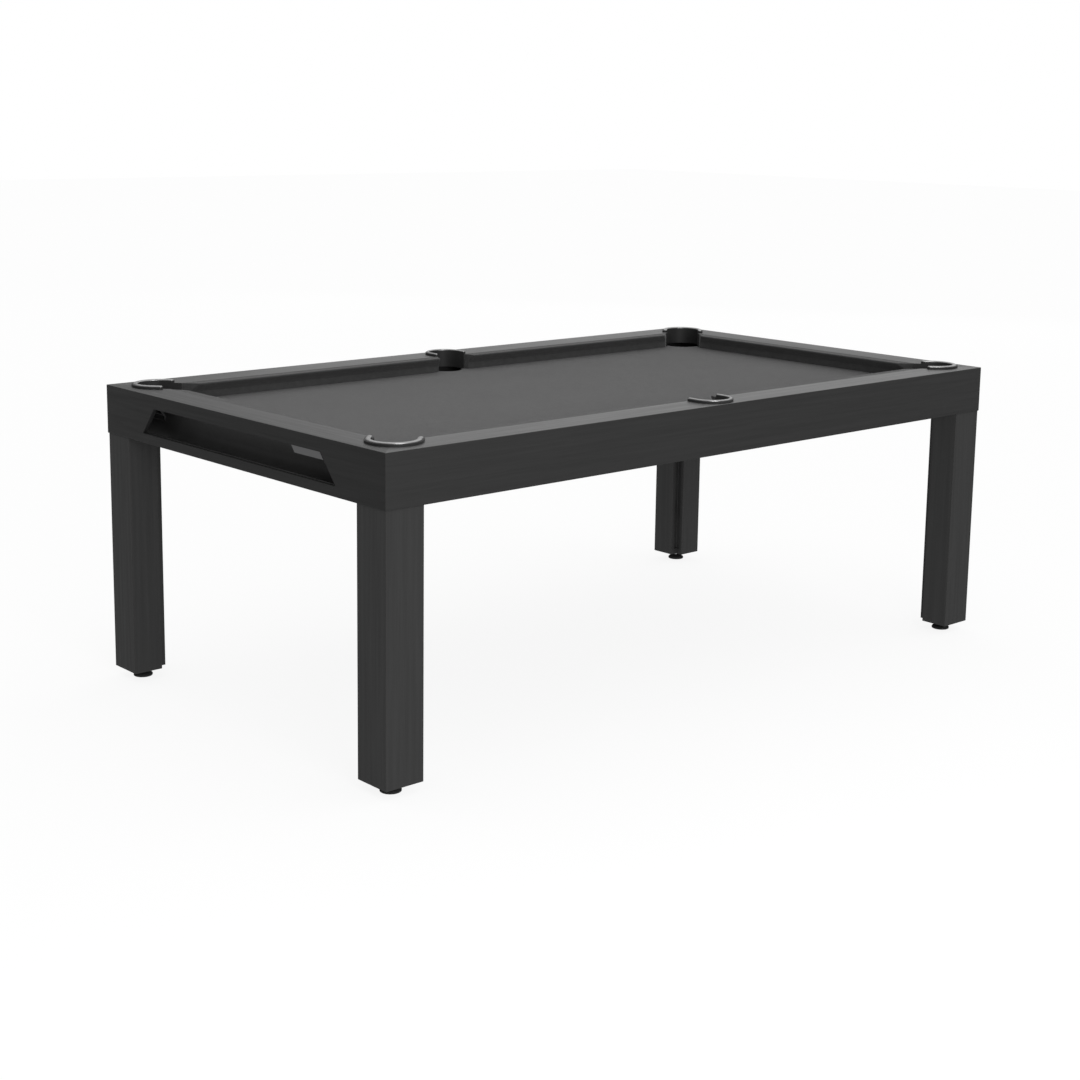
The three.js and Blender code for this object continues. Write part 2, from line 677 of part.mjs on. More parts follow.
// Levelling feet: a threaded stud with a hexagonal collar turns in the pad's socket.
function footStud() {
  const headRadius = SOCKET_RADIUS - GAP;
  const shaft = turned([
    [0, SOCKET_FLOOR + GAP],
    [headRadius, SOCKET_FLOOR + GAP],
    [headRadius, HEAD_TOP],
    [STUD_RADIUS, HEAD_TOP + HEAD_TAPER],
    [STUD_RADIUS, STUD_TOP - CHAMFER],
    [STUD_RADIUS - CHAMFER, STUD_TOP],
    [0, STUD_TOP],
  ]);
  const collar = prism(arc(0, 0, COLLAR_RADIUS, 0, (5 * Math.PI) / 3, 5), COLLAR_BOTTOM, COLLAR_TOP);
  return join(shaft, collar);
}

function footPad() {
  return turned([
    [0, 0],
    [PAD_RADIUS - CHAMFER, 0],
    [PAD_RADIUS, CHAMFER],
    [PAD_RADIUS, PAD_SKIRT],
    [PAD_RADIUS - PAD_SHOULDER_IN, PAD_SKIRT + PAD_SHOULDER_RISE],
    [PAD_RADIUS / 2, PAD_TOP - CHAMFER],
    [SOCKET_RADIUS + SOCKET_WALL, PAD_TOP],
    [SOCKET_RADIUS, PAD_TOP],
    [SOCKET_RADIUS, SOCKET_FLOOR],
    [0, SOCKET_FLOOR],
  ]);
}

for (const [name, frame] of Object.entries(CORNERS)) {
  const middle = LEG_INSET + LEG_SIZE / 2;
  piece(frame, `leg_${name}`, legShell(), BLACK_BOARD);
  piece(frame, `leg_post_${name}`, legPost(), BLACK_STEEL);
  piece(frame, `leg_mount_plate_${name}`, mountPlate(), BLACK_STEEL);
  piece(frame, `foot_stud_${name}`, footStud(), ZINC_STEEL).position.set(middle, middle, 0);
  piece(frame, `foot_pad_${name}`, footPad(), BLACK_RUBBER).position.set(middle, middle, 0);
}

export default table;
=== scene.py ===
"""Looks of a seven-foot pool table: charcoal boards, grey cloth, bright pocket rims and levelling feet.

Everything is in metres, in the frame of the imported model: +X along the table, the ball tray's end at -X,
+Z up from the floor.
"""
import math

import bmesh
import bpy
from mathutils import Matrix, Vector


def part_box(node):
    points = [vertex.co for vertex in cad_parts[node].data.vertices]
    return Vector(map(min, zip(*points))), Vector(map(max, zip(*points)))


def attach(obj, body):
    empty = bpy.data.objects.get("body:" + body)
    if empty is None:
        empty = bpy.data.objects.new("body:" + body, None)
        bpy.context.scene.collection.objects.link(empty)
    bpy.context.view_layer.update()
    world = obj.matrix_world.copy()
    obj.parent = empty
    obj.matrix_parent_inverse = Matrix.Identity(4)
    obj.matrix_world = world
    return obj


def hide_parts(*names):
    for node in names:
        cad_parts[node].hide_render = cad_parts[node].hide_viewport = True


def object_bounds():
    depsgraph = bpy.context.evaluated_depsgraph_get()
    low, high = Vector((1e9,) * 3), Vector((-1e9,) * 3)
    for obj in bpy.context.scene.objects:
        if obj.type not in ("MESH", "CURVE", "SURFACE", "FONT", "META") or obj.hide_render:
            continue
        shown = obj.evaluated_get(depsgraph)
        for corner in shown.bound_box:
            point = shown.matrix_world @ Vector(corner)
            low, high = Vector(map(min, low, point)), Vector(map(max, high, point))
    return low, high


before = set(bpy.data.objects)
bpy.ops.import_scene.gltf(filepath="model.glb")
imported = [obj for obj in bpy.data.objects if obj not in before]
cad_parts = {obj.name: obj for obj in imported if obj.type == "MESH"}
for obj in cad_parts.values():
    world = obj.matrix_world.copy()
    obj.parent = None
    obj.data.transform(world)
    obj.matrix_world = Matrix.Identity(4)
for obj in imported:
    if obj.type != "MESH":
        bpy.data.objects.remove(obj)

cad_low, cad_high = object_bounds()

# Places taken from the frame
HALF_LENGTH = cad_high.x
HALF_WIDTH = cad_high.y
RAIL_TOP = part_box("rail_cap_front")[1].z
BED_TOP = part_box("bed_cloth")[1].z
RIM_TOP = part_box("pocket_rim_front_tray")[1].z
RIM_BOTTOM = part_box("pocket_rim_front_tray")[0].z

# Sizes of the pieces that are shaped here
APRON_THICKNESS = 0.012
CAP_WIDTH = 0.0967
CAP_THICKNESS = 0.030
CAP_FOOT = 0.080
EDGE_ROUND = 0.002
SEAM = 0.00008
CUTTER_REACH = 0.4
CUTTER_MARGIN = 0.01
WINDOW_LOW = 0.7055
WINDOW_HIGH = 0.777
WINDOW_HALF_LOW = 0.433
WINDOW_HALF_HIGH = 0.374

RAIL_WIDTH = 0.127
CUSHION_BACK = 0.0971
CUSHION_FOOT = 0.110
JAW_ROUND = 0.0018

LINER_GAP = 0.0035
RIM_STEP = 0.0006
ARM_REACH = 0.023
CORNER_POCKET = {
    "inset": 0.099, "centre": 0.099 * math.sqrt(2), "radius": 0.0525, "rim": 0.0645, "jaw": (0.056, 0.061),
}
SIDE_POCKET = {
    "inset": 0.068, "centre": 0.068, "radius": 0.049, "rim": 0.0575, "jaw": (0.0535, 0.066),
}

STUD_HEAD = 0.0073
HEAD_LOW = 0.0068
HEAD_HIGH = 0.0115
NECK_LOW = 0.0135
STUD_RADIUS = 0.005
STUD_TOP = 0.070
STUD_COLLAR = 0.0098
COLLAR_LOW = 0.016
COLLAR_HIGH = 0.0247
CHAMFER_SLOPE = 1.6
CHAMFER_START = 0.0001
THREAD_PITCH = 0.0015
THREAD_DEPTH = 0.0006
THREAD_STEPS = 6

# Camera: place in metres, angles in degrees, lens and sensor in millimetres
CAMERA_PLACE = (-3.4901, -3.7698, 1.5667)
CAMERA_HEADING = 48.052
CAMERA_DOWN = 10.151
CAMERA_ROLL = 0.784
SENSOR_WIDTH = 36
LENS = 60.683
LENS_SHIFT = -0.1

# Light: the area lights are name, place, target, size and power
WORLD_LIGHT = 0.34
SKY_LIGHT = 1.95
SKY_SPREAD = 120
SKY_TILT = (2, 16)
AREA_LIGHTS = [
    ("back_right", (7.5, 5.5, 2.2), (0, 0, 0.8), (9.0, 3.0), 28),
    ("front_left", (-2.0, -4.6, 1.8), (-0.7, -0.6, 0.5), (2.4, 1.6), 100),
]
FLOOR_REACH = 30
FLOOR_GAP = 0.0002
FLOOR_GLOW = 0.88
FLOOR_GLOW_IN_GLOSS = 0.4

SHEET_INSET = 0.085
LIP_ROLL = 0.0016
LIP_DROP = 0.022

CORNERS = {
    "front_tray": (-1, -1, 0),
    "front_plain": (1, -1, 90),
    "rear_plain": (1, 1, 180),
    "rear_tray": (-1, 1, -90),
}
SIDES = {
    "front": (0, -1, 0, HALF_LENGTH),
    "rear": (0, 1, 180, HALF_LENGTH),
    "tray_end": (-1, 0, -90, HALF_WIDTH),
    "plain_end": (1, 0, 90, HALF_WIDTH),
}


# ---------------------------------------------------------------- camera, light and floor


def make_camera():
    """A long lens, a little above the rails, looking over the near corner of the tray's end."""
    heading = math.radians(CAMERA_HEADING)
    down = math.radians(CAMERA_DOWN)
    roll = math.radians(CAMERA_ROLL)
    forward = Vector((
        math.cos(heading) * math.cos(down),
        math.sin(heading) * math.cos(down),
        -math.sin(down),
    ))
    level_right = Vector((math.sin(heading), -math.cos(heading), 0))
    level_up = level_right.cross(forward)
    right = level_right * math.cos(roll) + level_up * math.sin(roll)
    up = level_up * math.cos(roll) - level_right * math.sin(roll)
    data = bpy.data.cameras.new("camera")
    data.sensor_width = SENSOR_WIDTH
    data.lens = LENS
    data.shift_y = LENS_SHIFT
    camera = bpy.data.objects.new("camera", data)
    bpy.context.scene.collection.objects.link(camera)
    rotation = Matrix((right, up, -forward)).transposed().to_4x4()
    camera.matrix_world = Matrix.Translation(Vector(CAMERA_PLACE)) @ rotation
    bpy.context.scene.camera = camera


def area_light(name, position, target, size, power):
    data = bpy.data.lights.new(name, "AREA")
    data.shape = "RECTANGLE"
    data.size, data.size_y = size
    data.energy = power
    light = bpy.data.objects.new(name, data)
    bpy.context.scene.collection.objects.link(light)
    light.location = position
    light.rotation_euler = (Vector(target) - Vector(position)).to_track_quat("-Z", "Y").to_euler()
    light.visible_camera = False
    return light


def make_studio():
    scene = bpy.context.scene
    scene.view_settings.view_transform = "Standard"
    world = bpy.data.worlds.new("studio")
    world.use_nodes = True
    scene.world = world
    tree = world.node_tree
    background = tree.nodes["Background"]
    background.inputs["Color"].default_value = (1, 1, 1, 1)
    background.inputs["Strength"].default_value = WORLD_LIGHT
    seen = add_node(tree, "ShaderNodeBackground", {"Color": (1, 1, 1, 1), "Strength": 1.0})
    path = add_node(tree, "ShaderNodeLightPath")
    mixed = add_node(tree, "ShaderNodeMixShader", {
        0: path.outputs["Is Camera Ray"],
        1: background.outputs[0],
        2: seen.outputs[0],
    })
    tree.links.new(mixed.outputs[0], tree.nodes["World Output"].inputs["Surface"])
    sky = bpy.data.lights.new("soft_sky", "SUN")
    sky.energy = SKY_LIGHT
    sky.angle = math.radians(SKY_SPREAD)
    overhead = bpy.data.objects.new("soft_sky", sky)
    scene.collection.objects.link(overhead)
    overhead.rotation_euler = (math.radians(SKY_TILT[0]), math.radians(SKY_TILT[1]), 0)
    for name, position, target, size, power in AREA_LIGHTS:
        area_light(name, position, target, size, power)


def make_floor():
    mesh = bpy.data.meshes.new("floor")
    corners = [(-FLOOR_REACH, -FLOOR_REACH, 0), (FLOOR_REACH, -FLOOR_REACH, 0)]
    corners += [(-x, -y, 0) for x, y, _ in corners]
    mesh.from_pydata(corners, [], [(0, 1, 2, 3)])
    floor = bpy.data.objects.new("floor", mesh)
    bpy.context.scene.collection.objects.link(floor)
    floor.location.z = -FLOOR_GAP
    mesh.materials.append(floor_material())


# ---------------------------------------------------------------- materials


def add_node(tree, kind, inputs=None, **settings):
    """A node with its settings, and its inputs set to numbers or linked to other nodes' outputs."""
    made = tree.nodes.new(kind)
    for key, value in settings.items():
        setattr(made, key, value)
    for socket, value in (inputs or {}).items():
        if isinstance(value, bpy.types.NodeSocket):
            tree.links.new(value, made.inputs[socket])
        else:
            made.inputs[socket].default_value = value
    return made


def grey(value, alpha=1.0):
    return (value, value, value, alpha)


def start_material(name, values):
    """A new material and its main shader, with the values that are the same all over the surface."""
    material = bpy.data.materials.new(name)
    material.use_nodes = True
    shader = material.node_tree.nodes["Principled BSDF"]
    for socket, value in values.items():
        shader.inputs[socket].default_value = value
    return material, material.node_tree, shader


def place(tree, scale):
    """Object coordinates, stretched by scale."""
    coordinates = add_node(tree, "ShaderNodeTexCoord")
    mapping = add_node(tree, "ShaderNodeMapping", {"Vector": coordinates.outputs["Object"], "Scale": scale})
    return mapping.outputs["Vector"]


def noise(tree, vector, scale, detail=4.0, roughness=0.55):
    made = add_node(tree, "ShaderNodeTexNoise", {
        "Vector": vector, "Scale": scale, "Detail": detail, "Roughness": roughness,
    })
    return made.outputs["Fac"]


def spread(tree, value, low, high, from_low=0.3, from_high=0.7):
    """A number that runs from low to high as value runs from from_low to from_high."""
    made = add_node(tree, "ShaderNodeMapRange", {
        "Value": value, "From Min": from_low, "From Max": from_high, "To Min": low, "To Max": high,
    })
    return made.outputs["Result"]


def sum_of(tree, first, second, share):
    """first plus share times second."""
    made = add_node(tree, "ShaderNodeMath", {0: second, 1: share, 2: first}, operation="MULTIPLY_ADD")
    return made.outputs[0]


def colour_between(tree, factor, low, high):
    made = add_node(tree, "ShaderNodeMix", {0: factor, 6: low, 7: high}, data_type="RGBA")
    return made.outputs[2]


def add_bump(tree, shader, height, strength, distance):
    bump = add_node(tree, "ShaderNodeBump", {"Height": height, "Strength": strength, "Distance": distance})
    tree.links.new(bump.outputs["Normal"], shader.inputs["Normal"])


def board_material(name, grain, dark, light, roughness, specular):
    """Charcoal board with a fine embossed grain along one axis."""
    material, tree, shader = start_material(name, {"Specular IOR Level": specular})
    across, along = 95.0, 2.6
    wide = place(tree, [along if axis == grain else across for axis in "XYZ"])
    fine = place(tree, [along * 6 if axis == grain else across * 9 for axis in "XYZ"])
    figure = noise(tree, wide, 1.0, detail=5)
    pores = noise(tree, fine, 1.0, detail=2)
    both = sum_of(tree, figure, pores, 0.5)
    tint = colour_between(tree, spread(tree, both, 0, 1, 0.5, 1.0), dark, light)
    tree.links.new(tint, shader.inputs["Base Color"])
    gloss = spread(tree, both, roughness + 0.05, roughness - 0.05, 0.5, 1.0)
    tree.links.new(gloss, shader.inputs["Roughness"])
    add_bump(tree, shader, both, 0.07, 0.0005)
    return material


def cloth_material(name, dark, light):
    """Napped wool cloth: a fine weave under a soft nap, with a faint mottle."""
    material, tree, shader = start_material(name, {
        "Roughness": 0.92, "Sheen Weight": 0.13, "Sheen Roughness": 0.45, "Specular IOR Level": 0.2,
    })
    vector = place(tree, (1, 1, 1))
    mottle = noise(tree, vector, 55.0, detail=6, roughness=0.7)
    cloud = noise(tree, vector, 7.0, detail=3)
    threads = [
        add_node(tree, "ShaderNodeTexWave", {
            "Vector": vector, "Scale": 260.0, "Distortion": 2.5, "Detail": 2.0, "Detail Scale": 4.0,
        }, bands_direction=axis).outputs["Fac"]
        for axis in ("X", "Y")
    ]
    weave = add_node(tree, "ShaderNodeMath", {0: threads[0], 1: threads[1]}, operation="MULTIPLY")
    nap = noise(tree, vector, 1400.0, detail=3)
    tone = sum_of(tree, sum_of(tree, mottle, cloud, 0.35), weave.outputs[0], 0.25)
    tint = colour_between(tree, spread(tree, tone, 0, 1, 0.45, 1.0), dark, light)
    tree.links.new(tint, shader.inputs["Base Color"])
    height = sum_of(tree, weave.outputs[0], nap, 0.6)
    add_bump(tree, shader, height, 0.35, 0.0005)
    return material


def metal_material(name, colour, roughness, streaks, metallic=1.0):
    """Bare metal with a fine drawn or brushed finish."""
    material, tree, shader = start_material(name, {"Metallic": metallic, "Base Color": colour})
    vector = place(tree, streaks)
    lines = noise(tree, vector, 1.0, detail=3)
    blotch = noise(tree, place(tree, (1, 1, 1)), 60.0, detail=3)
    both = sum_of(tree, lines, blotch, 0.5)
    gloss = spread(tree, both, roughness - 0.06, roughness + 0.08, 0.5, 1.0)
    tree.links.new(gloss, shader.inputs["Roughness"])
    tint = colour_between(
        tree, spread(tree, both, 0, 1, 0.5, 1.0), [c * 0.86 for c in colour[:3]] + [1], colour
    )
    tree.links.new(tint, shader.inputs["Base Color"])
    add_bump(tree, shader, lines, 0.08, 0.0002)
    return material


def moulded_material(name, dark, light, roughness, grain_scale, grain_depth, specular=0.5):
    """Moulded plastic, rubber or powder coat with a fine surface grain."""
    material, tree, shader = start_material(name, {"Specular IOR Level": specular})
    vector = place(tree, (1, 1, 1))
    grain = noise(tree, vector, grain_scale, detail=3)
    cloud = noise(tree, vector, 18.0, detail=3)
    tint = colour_between(tree, spread(tree, cloud, 0, 1), dark, light)
    tree.links.new(tint, shader.inputs["Base Color"])
    tree.links.new(spread(tree, cloud, roughness - 0.04, roughness + 0.06), shader.inputs["Roughness"])
    add_bump(tree, shader, grain, 0.25, grain_depth)
    return material


def slate_material():
    material, tree, shader = start_material("slate", {"Roughness": 0.8, "Specular IOR Level": 0.3})
    vector = place(tree, (1, 1, 1))
    layers = noise(tree, place(tree, (6, 6, 220)), 1.0, detail=5)
    specks = noise(tree, vector, 320.0, detail=4, roughness=0.7)
    both = sum_of(tree, layers, specks, 0.6)
    share = spread(tree, both, 0, 1, 0.5, 1.1)
    tint = colour_between(tree, share, (0.04, 0.045, 0.05, 1), (0.11, 0.115, 0.12, 1))
    tree.links.new(tint, shader.inputs["Base Color"])
    add_bump(tree, shader, both, 0.4, 0.0008)
    return material


def wood_material():
    """Black-stained softwood: growth rings along the beam show through the stain."""
    material, tree, shader = start_material("frame_wood", {"Specular IOR Level": 0.3})
    rings = add_node(tree, "ShaderNodeTexWave", {
        "Vector": place(tree, (0.6, 7.0, 7.0)), "Scale": 4.0, "Distortion": 4.0, "Detail": 3.0,
    }, bands_direction="Y").outputs["Fac"]
    fibre = noise(tree, place(tree, (14, 400, 400)), 1.0, detail=3)
    both = sum_of(tree, rings, fibre, 0.5)
    share = spread(tree, both, 0, 1, 0.2, 1.3)
    tint = colour_between(tree, share, (0.020, 0.019, 0.018, 1), (0.011, 0.010, 0.010, 1))
    tree.links.new(tint, shader.inputs["Base Color"])
    tree.links.new(spread(tree, both, 0.6, 0.75, 0.2, 1.3), shader.inputs["Roughness"])
    add_bump(tree, shader, both, 0.2, 0.0006)
    return material


def floor_material():
    material, tree, shader = start_material("floor", {
        "Base Color": grey(0.11),
        "Roughness": 0.9,
        "Specular IOR Level": 0.0,
        "Emission Color": grey(1.0),
    })
    path = add_node(tree, "ShaderNodeLightPath")
    glow = spread(tree, path.outputs["Is Glossy Ray"], FLOOR_GLOW, FLOOR_GLOW_IN_GLOSS, 0.0, 1.0)
    tree.links.new(glow, shader.inputs["Emission Strength"])
    return material


def make_materials():
    return {
        # Aprons and legs share one charcoal finish. It is given here as lighter and darker copies: the long
        # aprons, the darker end aprons and the lighter legs carry painted light and shade.
        "board_x": board_material("board_x", "X", grey(0.019), grey(0.0245), 0.60, 0.18),
        "board_y": board_material("board_y", "Y", grey(0.015), grey(0.019), 0.55, 0.18),
        "board_z": board_material("board_z", "Z", grey(0.026), grey(0.033), 0.55, 0.18),
        # The rail caps are the same charcoal finish made much lighter, and the long rails lighter than the
        # ends: painted highlight from light glancing off the tops.
        "cap_x": board_material("cap_x", "X", grey(0.052), grey(0.066), 0.37, 0.4),
        "cap_y": board_material("cap_y", "Y", grey(0.031), grey(0.042), 0.42, 0.4),
        "bed_cloth": cloth_material("bed_cloth", grey(0.049), grey(0.071)),
        # The cushions take the bed's cloth made darker: painted shade on their shaded faces.
        "cushion_cloth": cloth_material("cushion_cloth", grey(0.041), grey(0.059)),
        "rim": metal_material("polished_rim", grey(0.36), 0.38, (60, 60, 900)),
        "liner": moulded_material("pocket_liner", grey(0.017), grey(0.024), 0.55, 900.0, 0.0003, 0.3),
        "slate": slate_material(),
        "wood": wood_material(),
        "black_steel": moulded_material("black_steel", grey(0.018), grey(0.026), 0.45, 1300.0, 0.0002),
        "zinc": metal_material("zinc_steel", (0.52, 0.53, 0.54, 1), 0.34, (200, 200, 2000)),
        "tray": moulded_material("tray_plastic", grey(0.040), grey(0.050), 0.5, 500.0, 0.0001, 0.2),
        # The hoods are the tray's black plastic made several times lighter: painted light and highlight on
        # the rounded shape seen in the window.
        "hood": moulded_material("lit_hood_plastic", grey(0.12), grey(0.14), 0.22, 500.0, 0.0001),
        "rubber": moulded_material("foot_rubber", grey(0.012), grey(0.018), 0.75, 1500.0, 0.0002, 0.3),
        "plate": metal_material("name_plate", (0.20, 0.20, 0.203, 1), 0.45, (900, 12, 900)),
    }


# ---------------------------------------------------------------- mesh helpers


def link_piece(name, mesh, material, body, replaced=()):
    piece = bpy.data.objects.new(name, mesh)
    bpy.context.scene.collection.objects.link(piece)
    mesh.materials.clear()
    mesh.materials.append(material)
    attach(piece, body)
    if replaced:
        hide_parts(*replaced)
    return piece


def soften(mesh, degrees=32):
    """Smooth shading that keeps the edges sharper than this."""
    mesh.shade_smooth()
    mesh.set_sharp_from_angle(angle=math.radians(degrees))


def add_bevel(piece, width, segments=2, degrees=32):
    bevel = piece.modifiers.new("edges", "BEVEL")
    bevel.width = width
    bevel.segments = segments
    bevel.limit_method = "ANGLE"
    bevel.angle_limit = math.radians(degrees)
    bevel.use_clamp_overlap = True
    bevel.harden_normals = True
    return bevel


def clean_mesh(node, name):
    """A copy of a CAD node's mesh with its split corners joined and its flat faces made whole."""
    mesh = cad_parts[node].data.copy()
    mesh.name = name
    work = bmesh.new()
    work.from_mesh(mesh)
    bmesh.ops.remove_doubles(work, verts=work.verts, dist=0.00002)
    bmesh.ops.dissolve_limit(
        work, angle_limit=math.radians(0.6), verts=work.verts, edges=work.edges, use_dissolve_boundaries=False
    )
    bmesh.ops.recalc_face_normals(work, faces=work.faces)
    work.to_mesh(mesh)
    work.free()
    return mesh


def fine_copy(node, material, body="table", bevel=0.001, segments=2):
    """A CAD node's own shape with softened edges."""
    name = f"fine_{node}"
    mesh = clean_mesh(node, name)
    soften(mesh)
    piece = link_piece(name, mesh, material, body, [node])
    if bevel:
        add_bevel(piece, bevel, segments)
    return piece


def mesh_of(name, vertices, faces):
    mesh = bpy.data.meshes.new(name)
    mesh.from_pydata([tuple(v) for v in vertices], [], faces)
    mesh.update()
    return mesh


def fix_normals(mesh):
    work = bmesh.new()
    work.from_mesh(mesh)
    bmesh.ops.recalc_face_normals(work, faces=work.faces)
    work.to_mesh(mesh)
    work.free()


def ring_faces(rings, count, closed=True):
    """Quads between neighbouring rings of count points each."""
    last = count if closed else count - 1
    return [
        (r * count + k, r * count + (k + 1) % count, (r + 1) * count + (k + 1) % count, (r + 1) * count + k)
        for r in range(rings - 1)
        for k in range(last)
    ]


def tube_mesh(name, vertices, count):
    """A closed solid from rings of count points, with a face across each end."""
    rings = len(vertices) // count
    faces = ring_faces(rings, count)
    faces.append(tuple(range(count)))
    faces.append(tuple(range((rings - 1) * count, rings * count)))
    mesh = mesh_of(name, vertices, faces)
    fix_normals(mesh)
    return mesh


def filleted(corners):
    """A closed outline from corners given as (x, y, radius, steps)."""
    outline = []
    for index, (x, y, radius, steps) in enumerate(corners):
        point = Vector((x, y))
        if not radius:
            outline.append(point)
            continue
        before = (Vector(corners[index - 1][:2]) - point).normalized()
        after = (Vector(corners[(index + 1) % len(corners)][:2]) - point).normalized()
        half_angle = before.angle(after) / 2
        middle = point + (before + after).normalized() * radius / math.sin(half_angle)
        first = point + before * radius / math.tan(half_angle) - middle
        second = point + after * radius / math.tan(half_angle) - middle
        for step in range(steps + 1):
            outline.append(middle + first.slerp(second, step / steps).normalized() * radius)
    return outline


def inset_outline(outline, distance):
    """The outline moved inwards by distance along its corners' normals."""
    area = sum(a.x * b.y - a.y * b.x for a, b in zip(outline, outline[1:] + outline[:1]))
    turn = 1 if area > 0 else -1
    moved = []
    for index, point in enumerate(outline):
        along = (outline[(index + 1) % len(outline)] - outline[index - 1]).normalized()
        moved.append(point + Vector((-along.y, along.x)) * turn * distance)
    return moved


def edge_matrix(column, row, degrees):
    """The frame at a side's or a corner's outer edge, turned so that Y points inwards."""
    origin = Matrix.Translation((column * HALF_LENGTH, row * HALF_WIDTH, 0))
    return origin @ Matrix.Rotation(math.radians(degrees), 4, "Z")


def side_matrix(side):
    return edge_matrix(*SIDES[side][:3])


def corner_matrix(corner):
    return edge_matrix(*CORNERS[corner])


# ---------------------------------------------------------------- boards and legs


def arc_points(x, y, radius, start, end, steps):
    angles = (math.radians(start + (end - start) * k / steps) for k in range(steps + 1))
    return [Vector((x + radius * math.cos(a), y + radius * math.sin(a))) for a in angles]


def apron_section():
    """Across an apron: its top edge's rounding stops half-way, where the cap's goes on."""
    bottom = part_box("apron_front")[0].z
    foot = filleted([
        (0, bottom, 0.0016, 4),
        (APRON_THICKNESS, bottom, 0.0008, 2),
        (APRON_THICKNESS, RAIL_TOP - APRON_THICKNESS, 0, 0),
    ])
    return foot + arc_points(EDGE_ROUND, RAIL_TOP - EDGE_ROUND, EDGE_ROUND, 135, 180, 4)


def cap_section():
    inner = APRON_THICKNESS + SEAM
    body = filleted([
        (CAP_WIDTH, RAIL_TOP, 0.0008, 3),
        (CAP_WIDTH, BED_TOP + 0.0003, 0, 0),
        (CAP_FOOT, BED_TOP + 0.0003, 0, 0),
        (CAP_FOOT, RAIL_TOP - CAP_THICKNESS, 0, 0),
        (inner, RAIL_TOP - CAP_THICKNESS, 0, 0),
        (inner, RAIL_TOP - APRON_THICKNESS, 0, 0),
    ])
    return body + arc_points(EDGE_ROUND + SEAM, RAIL_TOP - EDGE_ROUND, EDGE_ROUND, 135, 90, 4)


def board_ring(section, half, angle):
    """The section turned round the board's vertical corner, as far as the mitre at 45 degrees."""
    ring = []
    for inset, height in section:
        depth = EDGE_ROUND - inset
        if depth > 0:
            along = half - EDGE_ROUND + depth * math.sin(angle)
            inwards = EDGE_ROUND - depth * math.cos(angle)
        else:
            along = half - EDGE_ROUND + depth * math.tan(angle)
            inwards = inset
        ring.append((along - SEAM, inwards, height))
    return ring


def prism_mesh(name, outline, matrix, low, high):
    """An outline in a frame's XY plane, pushed up from low to high."""
    vertices = [matrix @ Vector((x, y, z)) for z in (low, high) for x, y in outline]
    return tube_mesh(name, vertices, len(outline))


def pocket_cutter(pocket, matrix):
    radius = pocket["radius"] + LINER_GAP
    back = arc_points(pocket["centre"], 0, radius, 90, 270, 40)
    outline = back + [Vector((CUTTER_REACH, -radius)), Vector((CUTTER_REACH, radius))]
    return prism_mesh("cutter", outline, matrix, BED_TOP - CUTTER_MARGIN, RAIL_TOP + CUTTER_MARGIN)


def carve(mesh, cutters):
    """The mesh with the cutters' meshes taken away."""
    scene = bpy.context.scene
    body = bpy.data.objects.new("carved", mesh)
    scene.collection.objects.link(body)
    tools = []
    for cutter in cutters:
        tool = bpy.data.objects.new("cutter", cutter)
        scene.collection.objects.link(tool)
        tools.append(tool)
        step = body.modifiers.new("cut", "BOOLEAN")
        step.operation = "DIFFERENCE"
        step.solver = "MANIFOLD"
        step.object = tool
    made = bpy.data.meshes.new_from_object(body.evaluated_get(bpy.context.evaluated_depsgraph_get()))
    for used in [body, *tools]:
        bpy.data.objects.remove(used)
    return made


def board_mesh(section, side, cutters):
    half = SIDES[side][3]
    turns = [math.radians(45) * k / 4 for k in range(5)]
    low_end = [[(-u, v, z) for u, v, z in board_ring(section, half, a)] for a in reversed(turns)]
    high_end = [board_ring(section, half, a) for a in turns]
    rings = low_end + high_end
    vertices = [side_matrix(side) @ Vector(point) for ring in rings for point in ring]
    mesh = tube_mesh("board", vertices, len(section))
    return carve(mesh, cutters) if cutters else mesh


def window_cutter():
    outline = [
        Vector((-WINDOW_HALF_LOW, WINDOW_LOW)), Vector((WINDOW_HALF_LOW, WINDOW_LOW)),
        Vector((WINDOW_HALF_HIGH, WINDOW_HIGH)), Vector((-WINDOW_HALF_HIGH, WINDOW_HIGH)),
    ]
    upright = side_matrix("tray_end") @ Matrix.Rotation(math.radians(90), 4, "X")
    return prism_mesh("cutter", outline, upright, -APRON_THICKNESS - CUTTER_MARGIN, CUTTER_MARGIN)


def weigh_window(mesh):
    """Marks the window's edges for the bevel."""
    weights = mesh.attributes.new("bevel_weight_edge", "FLOAT", "EDGE")
    margin = 0.0001
    for edge in mesh.edges:
        ends = [mesh.vertices[index].co for index in edge.vertices]
        inside = all(
            abs(p.y) < WINDOW_HALF_LOW + margin and WINDOW_LOW - margin < p.z < WINDOW_HIGH + margin
            for p in ends
        )
        weights.data[edge.index].value = 1.0 if inside else 0.0


def pocket_places():
    """Each pocket's frame, which opens along +X from the corner's point or the side's edge."""
    places = {
        corner: (corner_matrix(corner) @ Matrix.Rotation(math.radians(45), 4, "Z"), CORNER_POCKET)
        for corner in CORNERS
    }
    for side in ("front", "rear"):
        turned = side_matrix(side) @ Matrix.Rotation(math.radians(90), 4, "Z")
        places[f"{side}_middle"] = (turned, SIDE_POCKET)
    return places


